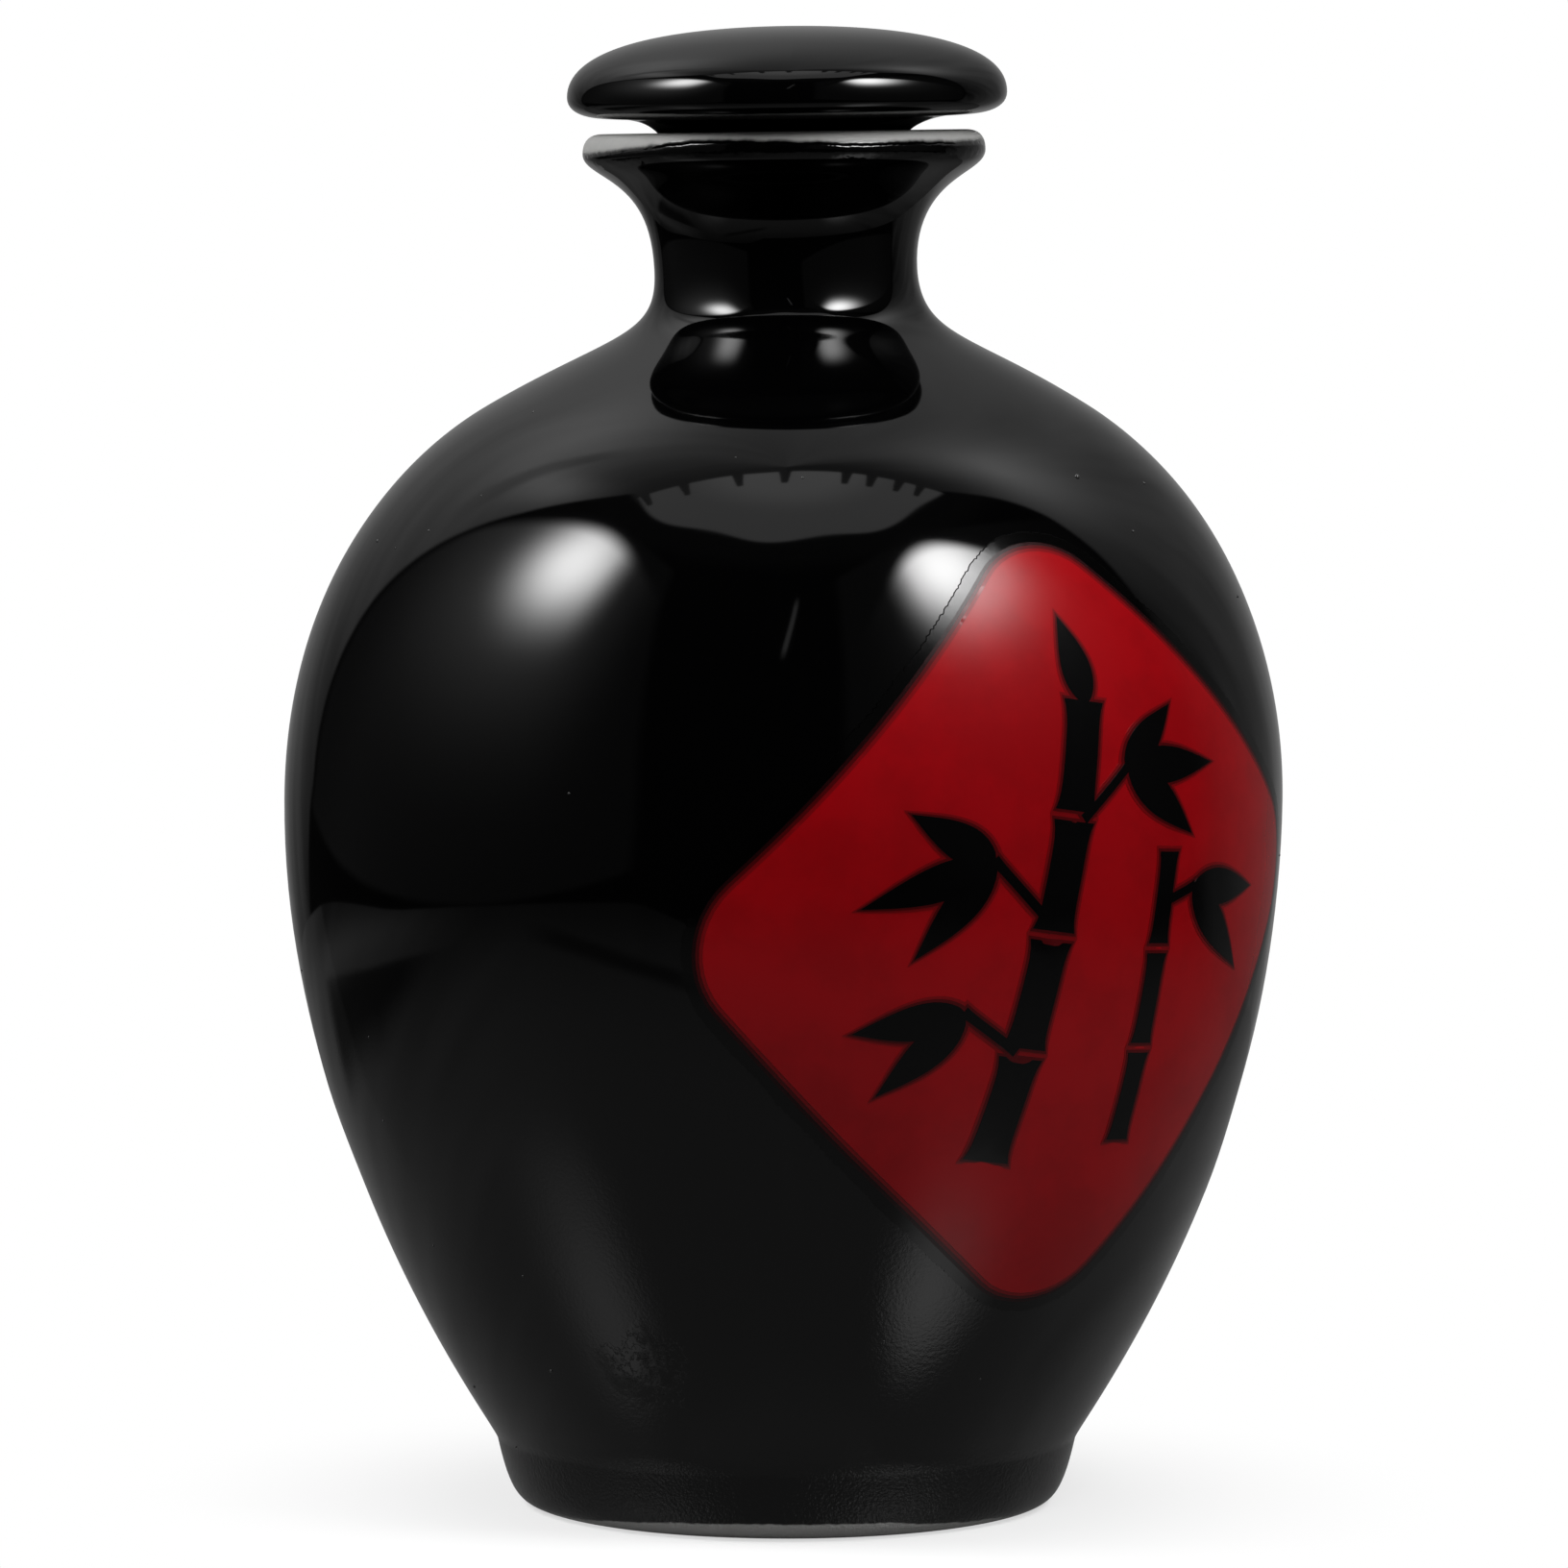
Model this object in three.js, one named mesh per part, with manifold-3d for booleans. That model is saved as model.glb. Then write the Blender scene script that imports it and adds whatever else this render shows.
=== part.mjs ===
// A black-glazed wine jar with a mushroom stopper, a sealing sleeve on its stem
// and a red diamond label on the belly. Millimetres, +Z up, the foot on z = 0,
// the label facing -Y.
import * as THREE from 'three';
import { mergeVertices } from 'three/addons/utils/BufferGeometryUtils.js';
import Module from 'manifold-3d';

const wasm = await Module();
wasm.setup();

// Jar, outside: radius and height of each place that sets the outline
const footRadius = 24.45;
const creaseRadius = 29.15;
const creaseHeight = 6.63;
const creaseSlope = THREE.MathUtils.degToRad(77.4);
const bellyRadius = 50.0;
const bellyHeight = 71.0;
const shoulderRadius = 30.0;
const shoulderHeight = 110.35;
const shoulderSlope = THREE.MathUtils.degToRad(31.2);
const neckRadius = 13.14;
const neckHeight = 124.0;
const lipRadius = 20.1;
const lipHeight = 135.6;
const rimHeight = 137.6;

// Fullness of the outline's curves: how far each one keeps its direction
const toeFullness = 2.5;
const toeTopFullness = 6.0;
const toeRise = THREE.MathUtils.degToRad(3.5);
const creaseFullness = 1.45;
const lowerBellyFullness = 35.93;
const upperBellyFullness = 17.6;
const shoulderFullness = 14.1;
const neckRootFullness = 7.0;
const neckFlareFullness = 9.3;
const lipFullness = 2.6;

// Jar, inside and underneath
const wall = 4.0;
const floorThickness = 4.5;
const boreRadius = 9.5;
const boreDepth = 16.4;
const footRingWidth = 4.6;
const baseRecess = 1.8;
const rimRounding = 2.0;

// Stopper
const capRadius = 21.95;
const capEdgeRise = 3.7;
const capHeight = 10.5;
const capFlatness = 9.0;
const capRoundness = 5.7;
const capUndersideRise = 1.6;
const capUndersideRadius = 18.4;
const capEdgeFullness = 1.8;
const capUndersideFullness = 1.0;
const collarRadius = 12.6;
const collarFillet = 1.3;
const stemRadius = 7.0;
const stemDepth = 16.0;
const beadHeight = 1.7;
const beadRadius = 8.2;
const stemHoleRadius = 3.6;
const stemHoleDepth = 21.0;

// Sealing sleeve
const ribCount = 3;
const ribDepth = 0.9;
const ribShare = 0.45;

// Label: a rounded square set on its corner, wrapped on the belly
const labelHeight = 61.4;
const labelHalfDiagonal = 42.0;
const labelCornerRadius = 9.0;
const labelTilt = THREE.MathUtils.degToRad(3.8);
const labelThickness = 0.3;
const labelGap = 0.2;
const leafWidth = 3.6;
const stalkWidth = 4.8;
const slimStalkWidth = 2.8;
const twigWidth = 1.1;
const leafFullness = 0.7;
const stalkJoint = 1.0;
const stalkWaist = 0.82;
const stalkSwellShare = 0.2;
const brushCutMargin = 1.0;

// Clearance between pieces that touch on the real jar
const seatGap = 0.3;

const jarSegments = 40;
const stopperSegments = 36;
const curveSteps = 8;
const shortCurveSteps = 3;
const toeSteps = 5;
const leafSteps = 4;
const labelRings = 7;
const labelSides = 48;

const point = (r, z) => new THREE.Vector2(r, z);
const heading = (angle) => point(Math.cos(angle), Math.sin(angle));
const along = (start, direction, length) => start.clone().addScaledVector(direction, length);
const UP = point(0, 1);
const DOWN = point(0, -1);
const IN = point(-1, 0);

function cubic(start, startHandle, endHandle, end, steps) {
  return new THREE.CubicBezierCurve(start, startHandle, endHandle, end).getPoints(steps);
}

function quadratic(start, handle, end, steps) {
  return new THREE.QuadraticBezierCurve(start, handle, end).getPoints(steps);
}

// Joins runs of points, dropping a point that repeats the one before it
function joined(...runs) {
  const all = runs.flat();
  return all.filter((p, i) => i === 0 || p.distanceTo(all[i - 1]) > 1e-6);
}

// The glazed outline from the foot's crease up to the narrowest place of the neck
function bellyOutline(steps) {
  const crease = point(creaseRadius, creaseHeight);
  const belly = point(bellyRadius, bellyHeight);
  const shoulder = point(shoulderRadius, shoulderHeight);
  const neck = point(neckRadius, neckHeight);
  const shoulderRun = heading(Math.PI - shoulderSlope);
  return joined(
    cubic(crease, along(crease, heading(creaseSlope), creaseFullness),
      along(belly, DOWN, lowerBellyFullness), belly, steps),
    cubic(belly, along(belly, UP, upperBellyFullness), along(shoulder, shoulderRun, -shoulderFullness),
      shoulder, steps),
    cubic(shoulder, along(shoulder, shoulderRun, shoulderFullness), along(neck, DOWN, neckRootFullness),
      neck, steps),
  );
}

// The rolled toe, from the ring that the jar stands on up to the crease
function footOutline() {
  const contact = point(footRadius, 0);
  const crease = point(creaseRadius, creaseHeight);
  return cubic(contact, along(contact, heading(toeRise), toeFullness),
    along(crease, heading(creaseSlope), -toeTopFullness), crease, toeSteps);
}

function neckAndLipOutline() {
  const neck = point(neckRadius, neckHeight);
  const lip = point(lipRadius, lipHeight);
  const top = point(lipRadius - rimRounding, rimHeight);
  return joined(
    cubic(neck, along(neck, UP, neckFlareFullness), along(lip, DOWN, lipFullness), lip, curveSteps),
    quadratic(lip, point(lipRadius, rimHeight), top, shortCurveSteps),
  );
}

// The mouth is a 45 degree funnel that the stopper's collar seats in
const mouthRadius = collarRadius + seatGap * Math.SQRT2;
const throatHeight = rimHeight - boreDepth;
const floorHeight = baseRecess + floorThickness;

// The hollow from the throat down to the floor, one wall inside the outline
function hollowOutline() {
  const outline = bellyOutline(curveSteps);
  const inner = outline.map((p, i) => {
    const before = outline[Math.max(i - 1, 0)];
    const after = outline[Math.min(i + 1, outline.length - 1)];
    const run = after.clone().sub(before).normalize();
    return point(p.x - run.y * wall, p.y + run.x * wall);
  });
  const open = inner.filter((p) => p.x > boreRadius && p.y < throatHeight && p.y > floorHeight + wall / 2);
  open.reverse();
  const low = open[open.length - 1];
  const corner = quadratic(low, point(low.x - wall / 2, floorHeight), point(low.x - 2 * wall, floorHeight),
    shortCurveSteps);
  return joined(open, corner, [point(0, floorHeight)]);
}

function jarProfile() {
  const funnelDepth = mouthRadius - boreRadius;
  const ringInner = footRadius - footRingWidth;
  return joined(
    [point(0, baseRecess), point(ringInner - baseRecess, baseRecess), point(ringInner, 0)],
    footOutline(),
    bellyOutline(curveSteps),
    neckAndLipOutline(),
    [point(mouthRadius, rimHeight), point(boreRadius, rimHeight - funnelDepth)],
    [point(boreRadius, throatHeight)],
    hollowOutline(),
  );
}

// A solid of revolution from an outline that starts and ends on the axis
function turned(name, profile, segments, material) {
  const geometry = new THREE.LatheGeometry(profile, segments);
  geometry.rotateX(Math.PI / 2);
  geometry.deleteAttribute('uv');
  geometry.deleteAttribute('normal');
  return meshOf(name, solidOf(mergeVertices(geometry, 1e-4)), material);
}

// Merges a closed geometry into a solid whose faces point out
function solidOf(geometry) {
  const vertProperties = new Float32Array(geometry.attributes.position.array);
  const index = Array.from(geometry.index.array);
  const triVerts = [];
  for (let i = 0; i < index.length; i += 3) {
    const [a, b, c] = index.slice(i, i + 3);
    if (a !== b && b !== c && c !== a) triVerts.push(a, b, c);
  }
  if (signedVolume(vertProperties, triVerts) < 0) triVerts.reverse();
  return new wasm.Manifold(new wasm.Mesh({ numProp: 3, vertProperties, triVerts: new Uint32Array(triVerts) }));
}

function signedVolume(positions, triangles) {
  const at = (i) => new THREE.Vector3().fromArray(positions, 3 * i);
  let volume = 0;
  for (let i = 0; i < triangles.length; i += 3) {
    const [a, b, c] = [at(triangles[i]), at(triangles[i + 1]), at(triangles[i + 2])];
    volume += a.dot(b.cross(c)) / 6;
  }
  return volume;
}

function meshOf(name, solid, material) {
  const { vertProperties, triVerts } = solid.getMesh();
  const geometry = new THREE.BufferGeometry();
  geometry.setAttribute('position', new THREE.BufferAttribute(new Float32Array(vertProperties), 3));
  geometry.setIndex(new THREE.BufferAttribute(new Uint32Array(triVerts), 1));
  geometry.computeVertexNormals();
  const mesh = new THREE.Mesh(geometry, material);
  mesh.name = name;
  return mesh;
}

// Stopper: domed cap, a sloping collar that seats in the mouth, a stem with a
// groove for the sleeve and a bead that keeps the sleeve on
const sleeveRadius = boreRadius - seatGap;
const collarBottom = rimHeight - (collarRadius - sleeveRadius);
const stemBottom = rimHeight - stemDepth;

function stopperProfile() {
  const capTop = point(0, rimHeight + capHeight);
  const capEdge = point(capRadius, rimHeight + capEdgeRise);
  const underside = point(capUndersideRadius, rimHeight + capUndersideRise);
  const collarTop = point(collarRadius + collarFillet, rimHeight + collarFillet);
  const holeTop = stemBottom + stemHoleDepth;
  return joined(
    cubic(capTop, along(capTop, IN, -capFlatness), along(capEdge, UP, capRoundness), capEdge, curveSteps),
    cubic(capEdge, along(capEdge, DOWN, capEdgeFullness), along(underside, IN, -capUndersideFullness),
      underside, shortCurveSteps),
    [collarTop, point(sleeveRadius, collarBottom), point(stemRadius, collarBottom)],
    [point(stemRadius, stemBottom + beadHeight)],
    quadratic(point(beadRadius, stemBottom + beadHeight), point(beadRadius, stemBottom),
      point(beadRadius - beadHeight / 2, stemBottom), 2),
    [point(stemHoleRadius, stemBottom), point(stemHoleRadius, holeTop - stemHoleRadius)],
    [point(stemHoleRadius / 2, holeTop - stemHoleRadius / 4), point(0, holeTop)],
  );
}

// Sleeve: a thin tube in the stem's groove with rounded ribs outside
function sleeveProfile() {
  const top = collarBottom - seatGap;
  const bottom = stemBottom + beadHeight + seatGap;
  const inner = stemRadius + seatGap;
  const outer = sleeveRadius - ribDepth;
  const pitch = (top - bottom) / ribCount;
  const ribs = [];
  for (let i = 0; i < ribCount; i += 1) {
    const middle = top - (i + 0.5) * pitch;
    const half = (pitch * ribShare) / 2;
    ribs.push(point(outer, middle + half), point(sleeveRadius, middle + half / 2));
    ribs.push(point(sleeveRadius, middle - half / 2), point(outer, middle - half));
  }
  const start = point(inner, top);
  return [start, point(outer, top), ...ribs, point(outer, bottom), point(inner, bottom), start.clone()];
}

// The jar's surface unrolled round the label's centre: u goes round the belly to
// the right, v goes up along the outline, lift stands off the glaze
const outlineSteps = 60;
const surface = bellyOutline(outlineSteps);
const surfaceLengths = surface.map(() => 0);
for (let i = 1; i < surface.length; i += 1) {
  surfaceLengths[i] = surfaceLengths[i - 1] + surface[i].distanceTo(surface[i - 1]);
}
const labelStart = surfaceLengths[surface.findIndex((p) => p.y >= labelHeight)];

function onBelly(u, v, lift) {
  const length = labelStart + v;
  const last = surface.length - 2;
  const i = Math.min(Math.max(surfaceLengths.findIndex((s) => s > length) - 1, 0), last);
  const share = (length - surfaceLengths[i]) / (surfaceLengths[i + 1] - surfaceLengths[i]);
  const at = surface[i].clone().lerp(surface[i + 1], share);
  const run = surface[i + 1].clone().sub(surface[i]).normalize();
  const r = at.x + run.y * lift;
  const angle = u / at.x;
  return new THREE.Vector3(r * Math.sin(angle), -r * Math.cos(angle), at.y - run.x * lift);
}

// Two copies of a flat outline at different lifts, joined into one closed solid
function wrapped(points, faces, edge, low, high) {
  const positions = [];
  for (const lift of [low, high]) {
    for (const p of points) positions.push(...onBelly(p.x, p.y, lift).toArray());
  }
  const n = points.length;
  const index = [];
  for (const [a, b, c] of faces) index.push(a, c, b, a + n, b + n, c + n);
  edge.forEach((a, i) => {
    const b = edge[(i + 1) % edge.length];
    index.push(a, b, b + n, a, b + n, a + n);
  });
  const geometry = new THREE.BufferGeometry();
  geometry.setAttribute('position', new THREE.BufferAttribute(new Float32Array(positions), 3));
  geometry.setIndex(index);
  return solidOf(geometry);
}

// Distance from the label's centre to its edge in a direction of the plane
function labelReach(angle) {
  const quarter = Math.PI / 2;
  const offCorner = angle - Math.round(angle / quarter) * quarter;
  const cornerCentre = labelHalfDiagonal - labelCornerRadius * Math.SQRT2;
  const side = labelHalfDiagonal / (Math.cos(offCorner) + Math.abs(Math.sin(offCorner)));
  const across = cornerCentre * Math.sin(offCorner);
  const inside = labelCornerRadius ** 2 - across ** 2;
  if (inside <= 0) return side;
  const round = cornerCentre * Math.cos(offCorner) + Math.sqrt(inside);
  const tangent = Math.atan2(labelCornerRadius / Math.SQRT2, cornerCentre + labelCornerRadius / Math.SQRT2);
  return Math.abs(offCorner) < tangent ? round : side;
}

function labelField() {
  const points = [point(0, 0)];
  const faces = [];
  for (let ring = 1; ring <= labelRings; ring += 1) {
    for (let i = 0; i < labelSides; i += 1) {
      const angle = (2 * Math.PI * i) / labelSides;
      const reach = (labelReach(angle) * ring) / labelRings;
      points.push(heading(angle + labelTilt).multiplyScalar(reach));
    }
  }
  const id = (ring, i) => 1 + (ring - 1) * labelSides + (i % labelSides);
  for (let i = 0; i < labelSides; i += 1) {
    faces.push([0, id(1, i), id(1, i + 1)]);
    for (let ring = 1; ring < labelRings; ring += 1) {
      faces.push([id(ring, i), id(ring + 1, i), id(ring + 1, i + 1)]);
      faces.push([id(ring, i), id(ring + 1, i + 1), id(ring, i + 1)]);
    }
  }
  const edge = Array.from({ length: labelSides }, (_, i) => id(labelRings, i));
  return wrapped(points, faces, edge, labelGap, labelGap + labelThickness);
}

// One closed brush mark, cut through the red field
function brushMark(outline) {
  const faces = THREE.ShapeUtils.triangulateShape(outline, []);
  const edge = outline.map((_, i) => i);
  return wrapped(outline, faces, edge, labelGap - brushCutMargin, labelGap + labelThickness + brushCutMargin);
}

// A pointed leaf from its stalk end: widest a third of the way along
function leaf(x, y, degrees, length) {
  const run = heading(THREE.MathUtils.degToRad(degrees));
  const across = point(-run.y, run.x);
  const root = point(x, y);
  const half = (share) => (leafWidth / 2) * Math.sin(Math.PI * share ** leafFullness);
  const outline = [root];
  for (const side of [1, -1]) {
    for (let i = 1; i < leafSteps; i += 1) {
      const share = side === 1 ? i / leafSteps : 1 - i / leafSteps;
      outline.push(along(along(root, run, share * length), across, -side * half(share)));
    }
    if (side === 1) outline.push(along(root, run, length));
  }
  return outline;
}

// A straight stalk section whose ends swell a little, as at a bamboo joint
function stalkSection(start, end, width) {
  const run = end.clone().sub(start).normalize();
  const across = point(-run.y, run.x);
  const length = end.distanceTo(start);
  const half = width / 2;
  const stations = [[0, 1], [stalkSwellShare, stalkWaist], [1 - stalkSwellShare, stalkWaist], [1, 1]];
  const right = stations.map(([t, w]) => along(along(start, run, t * length), across, -half * w));
  const left = stations.map(([t, w]) => along(along(start, run, t * length), across, half * w));
  return [...right, ...left.reverse()];
}

function stalk(from, to, sections, width) {
  const run = to.clone().sub(from);
  const length = run.length();
  const pitch = (length + stalkJoint) / sections;
  run.normalize();
  return Array.from({ length: sections }, (_, i) => stalkSection(
    along(from, run, i * pitch), along(from, run, (i + 1) * pitch - stalkJoint), width));
}

// A spray of bamboo: two stalks, twigs, and leaves in hanging groups
function bambooMarks() {
  return [
    ...stalk(point(-8, -22), point(2, 22), 4, stalkWidth),
    ...stalk(point(7, -22), point(12, 6), 3, slimStalkWidth),
    stalkSection(point(0.6, 10.8), point(7, 15.4), twigWidth),
    stalkSection(point(-3, 1), point(-9.5, 8), twigWidth),
    stalkSection(point(11, 1.2), point(16, 2), twigWidth),
    stalkSection(point(-6.2, -11), point(-12, -6.5), twigWidth),
    leaf(6.6, 15.2, -8, 13),
    leaf(6.6, 15.2, -42, 12),
    leaf(6.2, 15, 34, 9),
    leaf(-9.3, 7.8, 196, 14),
    leaf(-9.3, 7.8, 228, 12),
    leaf(-9.3, 7.8, 150, 10),
    leaf(15.6, 2, -12, 12),
    leaf(15.6, 1.8, -48, 13),
    leaf(-11.8, -6.6, 188, 11),
    leaf(-11.8, -6.8, 224, 11),
    leaf(2.4, 21.6, 100, 9),
  ];
}

function labelSolid() {
  return bambooMarks().reduce((field, mark) => field.subtract(brushMark(mark)), labelField());
}

const glaze = () => new THREE.MeshStandardMaterial({ color: 0x07070a, roughness: 0.1, metalness: 0 });
const silicone = new THREE.MeshStandardMaterial({ color: 0xd8d6cf, roughness: 0.6, metalness: 0 });
const labelRed = new THREE.MeshStandardMaterial({ color: 0x9c0a16, roughness: 0.35, metalness: 0 });

const jar = new THREE.Group();
jar.add(turned('jar_body', jarProfile(), jarSegments, glaze()));
jar.add(meshOf('label_decal', labelSolid(), labelRed));

const closure = new THREE.Group();
closure.add(turned('stopper', stopperProfile(), stopperSegments, glaze()));
closure.add(turned('sealing_sleeve', sleeveProfile(), stopperSegments, silicone));

const wineJar = new THREE.Group();
wineJar.add(jar, closure);

export default wineJar;
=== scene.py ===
import math
import random

import bpy
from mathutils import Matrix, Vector, noise
from mathutils.geometry import delaunay_2d_cdt


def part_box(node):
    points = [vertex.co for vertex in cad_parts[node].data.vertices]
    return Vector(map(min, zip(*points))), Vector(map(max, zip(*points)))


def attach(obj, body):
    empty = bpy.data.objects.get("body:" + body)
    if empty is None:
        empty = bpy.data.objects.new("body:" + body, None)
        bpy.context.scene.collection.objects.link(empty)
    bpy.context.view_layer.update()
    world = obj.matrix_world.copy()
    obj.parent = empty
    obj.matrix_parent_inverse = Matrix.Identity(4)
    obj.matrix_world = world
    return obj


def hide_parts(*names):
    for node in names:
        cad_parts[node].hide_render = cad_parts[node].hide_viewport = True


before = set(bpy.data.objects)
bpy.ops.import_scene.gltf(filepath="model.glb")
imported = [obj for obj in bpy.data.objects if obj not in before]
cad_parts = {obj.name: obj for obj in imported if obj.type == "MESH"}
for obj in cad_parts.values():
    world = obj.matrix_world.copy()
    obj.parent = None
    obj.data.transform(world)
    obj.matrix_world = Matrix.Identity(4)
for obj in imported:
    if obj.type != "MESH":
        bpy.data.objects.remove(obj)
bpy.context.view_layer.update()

MM = 0.001

# Sizes read from the model's parts, in millimetres
jar_low, jar_high = (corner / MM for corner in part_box("jar_body"))
stopper_low, stopper_high = (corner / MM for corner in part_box("stopper"))
sleeve_low, sleeve_high = (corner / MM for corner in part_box("sealing_sleeve"))

BELLY_RADIUS = (jar_high.x - jar_low.x) / 2
RIM_HEIGHT = jar_high.z
CAP_RADIUS = (stopper_high.x - stopper_low.x) / 2
CAP_TOP = stopper_high.z
STEM_BOTTOM = stopper_low.z
SLEEVE_RADIUS = (sleeve_high.x - sleeve_low.x) / 2
SLEEVE_TOP = sleeve_high.z
SLEEVE_BOTTOM = sleeve_low.z

# The jar's outline, as the solids have it
FOOT_RADIUS, FOOT_RING_WIDTH, BASE_RECESS = 24.45, 4.6, 1.8
TOE_RISE, TOE_FULLNESS, TOE_TOP_FULLNESS = math.radians(3.5), 2.5, 6.0
CREASE_RADIUS, CREASE_HEIGHT, CREASE_FULLNESS, CREASE_SLOPE = 29.15, 6.63, 1.45, math.radians(77.4)
BELLY_HEIGHT, LOWER_FULLNESS, UPPER_FULLNESS = 71.0, 35.93, 17.6
SHOULDER_RADIUS, SHOULDER_HEIGHT, SHOULDER_FULLNESS = 30.0, 110.35, 14.1
SHOULDER_SLOPE = math.radians(31.2)
NECK_RADIUS, NECK_HEIGHT, NECK_ROOT_FULLNESS = 13.14, 124.0, 7.0
LIP_RADIUS, LIP_HEIGHT, NECK_FLARE_FULLNESS, LIP_FULLNESS = 20.1, 135.6, 9.3, 2.6
WALL, FLOOR_HEIGHT, BORE_RADIUS, BORE_DEPTH = 4.0, 6.3, 9.5, 16.4
RIM_ROUNDING = 2.0

# The stopper's outline
CAP_EDGE_HEIGHT, CAP_FLATNESS, CAP_ROUNDNESS = RIM_HEIGHT + 3.7, 9.0, 5.7
UNDERSIDE_RADIUS, UNDERSIDE_HEIGHT = 18.4, RIM_HEIGHT + 1.6
COLLAR_RADIUS, COLLAR_FILLET, CAP_EDGE_FULLNESS = 12.6, 1.7, 1.8
STEM_RADIUS, BEAD_RADIUS, BEAD_HEIGHT = 7.0, 8.2, 1.7
STEM_HOLE_RADIUS, STEM_HOLE_DEPTH = 3.6, 21.0
SEAT_GAP = 0.3
RIB_COUNT, RIB_DEPTH, RIB_HALF_SHARE, SLEEVE_CHAMFER = 3, 0.9, 0.3, 0.2

# The label, unrolled on the belly, with the thickness of each of its layers and their mesh's grid
LABEL_HEIGHT, LABEL_HALF_DIAGONAL, LABEL_CORNER = 61.25, 42.2, 9.1
MARGIN_WIDTH, EDGE_RING, FILM, FILM_GRID = 1.15, 0.35, 0.03, 1.6

# The margin's torn edge: its small scallops, its slower waves, and how far both reach in
TEAR_LENGTH, TEAR_WAVE, TEAR_WAVE_LENGTH, TEAR_REACH, TEAR_SPACING = 0.55, 0.6, 5, 0.4, 0.16

# The rim that stands out past the margin on one side, and how near that side it starts and is full
RIM_WIDTH, RIM_HEADING, RIM_STARTS, RIM_FULL = 0.12, (-0.4, 0.917), 0.3, 0.8

# The brushwork, and how far the two steps of its soft edge reach past it
LEAF_WIDTH, LEAF_TIP_GROWTH, LEAF_SKEW = 3.6, 1.6, 0.7
STALK_WIDTH, SLIM_STALK_WIDTH, TWIG_WIDTH, STALK_JOINT, STALK_WAIST = 4.8, 2.8, 1.1, 1.0, 0.82
BRUSH_HALO, BRUSH_EDGE = 0.55, 0.28

# Grit under the glaze: how many small specks, their least radius and how much it varies,
# a speck's rise and how far its rim sinks in, as shares of its radius,
# and the plain specks by turn from the front, height and radius
NIB_COUNT, NIB_RADIUS, NIB_SPREAD = 70, 0.11, 0.12
NIB_RISE, NIB_SINK = 0.7, 0.05
PLAIN_NIBS = ((14, 104, 0.3), (31, 103, 0.17), (19, 98.7, 0.17))

# How the hand laid the label: leaning, turned, narrowing upwards, and with its sides pulled up
LABEL_LEAN, LABEL_TURN, LABEL_TAPER, LABEL_SAG = 0.0373, 0.0781, -0.0018, 0.0015

# The photograph's camera: azimuth from the label's front, and distance from the jar's axis
CAMERA_AZIMUTH = math.radians(-34.65)
CAMERA_DISTANCE, CAMERA_HEIGHT = 850.0, 137.0
CAMERA_PITCH = math.radians(4.35)
CAMERA_FOV = math.radians(10.5436)

# The hand-made tilt of the lip and stopper, as rise per millimetre to the view's right,
# the stopper's own dip towards the camera, and how far it sits to the right
RIM_TILT = math.tan(math.radians(0.8))
CAP_DIP = math.tan(math.radians(1.4))
CAP_SHIFT = 0.3

# How far the axis strays to the view's right, each with its middle and half width in height,
# and how far the foot does, with the heights where that starts to fade and ends
AXIS_STRAYS = ((0.6, 116.5, 5.5), (0.2, 105, 9), (-0.11, 62, 9))
FOOT_STRAY, FOOT_STRAY_FADES, FOOT_STRAY_ENDS = 0.25, 32, 43

# Steps round every turned piece
SEGMENTS = 192

# Where the glaze ends and where it turns satin, in metres, and a height past each end of the part
LIP_GLAZE_END, FOOT_GLAZE_END, COLLAR_GLAZE_END, SATIN_HEIGHT = 0.1368, 0.0007, 0.1335, 0.046
ABOVE_ALL, BELOW_ALL = 1.0, -1.0

# Colours, and the share of a colour that a stain or thin print keeps
GLAZE, GRIT = (0.0003, 0.0003, 0.00035), (0.03, 0.03, 0.03, 1)
# The foot's bare porcelain is the lip's clay, painted lighter: painted light on the shaded foot
LIP_CLAY, FOOT_CLAY_PAINTED_LIGHTER, CLAY_STAIN = (0.42, 0.42, 0.41), (0.75, 0.745, 0.73), 0.81
THIN_PRINT = 0.85
GLAZE_ROUGHNESS, CLAY_ROUGHNESS, GLASS_IOR = 0.045, 0.6, 1.5

# The tent and the table that the glaze reflects: radius, the table's reach and its lift, in metres,
# and the elevation that the tent reaches down to, in degrees
TENT_RADIUS, TABLE_REACH, TABLE_LIFT, TENT_LOW = 2.0, 0.345, 0.0002, -2.5

# The clips on the back edge of the tent's opening, as sideways distance over height,
# and how far they hang into it
TENT_CLIPS = (-0.43, -0.3, -0.135, -0.003, 0.17, 0.243, 0.328, 0.4)
CLIP_DEPTH = 0.075

# The lamps: azimuth from the camera and elevation in degrees, distance and size in metres,
# and power in watts
LAMPS = (
    ("left_lamp", -74, 46, 1.2, 0.5, 12.0),
    ("right_lamp", 51, 50, 1.2, 0.5, 12.0),
    ("top_lamp", 0, 80, 1.1, 0.8, 5.5),
)

# The floor as other surfaces see it and as the camera does, and the world as a light
FLOOR_RADIUS, FLOOR_BOUNCE, FLOOR_SHADE = 6.0, (0.12, 0.12, 0.12, 1), (0.82, 0.82, 0.82, 1)
WORLD_LIGHT = 0.15


# Outlines

def vec(*values):
    return Vector(values)


def heading(angle):
    return vec(math.cos(angle), math.sin(angle))


UP, DOWN, OUT = vec(0, 1), vec(0, -1), vec(1, 0)


def cubic(a, b, c, d, steps):
    points = []
    for i in range(steps + 1):
        t = i / steps
        s = 1 - t
        points.append(a * s**3 + b * 3 * s * s * t + c * 3 * s * t * t + d * t**3)
    return points


def quadratic(a, b, c, steps):
    return cubic(a, a.lerp(b, 2 / 3), c.lerp(b, 2 / 3), c, steps)


def straight(a, b, steps):
    return [a.lerp(b, i / steps) for i in range(steps + 1)]


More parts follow.
